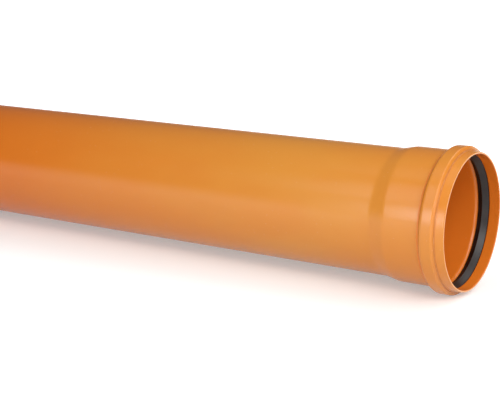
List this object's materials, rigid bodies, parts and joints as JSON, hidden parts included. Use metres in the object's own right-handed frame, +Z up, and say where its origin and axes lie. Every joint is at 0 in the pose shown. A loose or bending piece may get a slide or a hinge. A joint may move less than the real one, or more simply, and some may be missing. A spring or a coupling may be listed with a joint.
{
  "type": "pvc sewer pipe",
  "caption": "Length of orange-brown plastic sewer pipe with a formed socket holding a black rubber sealing ring at one end and a chamfered plain end at the other.",
  "frame": {"origin": "centre of the plain end's face, on the pipe's axis", "axes": "+X along the pipe's axis from the plain end to the socket's mouth, +Z up with the pipe lying level"},
  "size_m": [1.084, 0.181, 0.181],
  "materials": {
    "pvc": "satin",
    "seal_rubber": "satin"
  },
  "bodies": {
    "root": {"pipe": "pvc", "sealing_ring": "seal_rubber"}
  },
  "joints": []
}
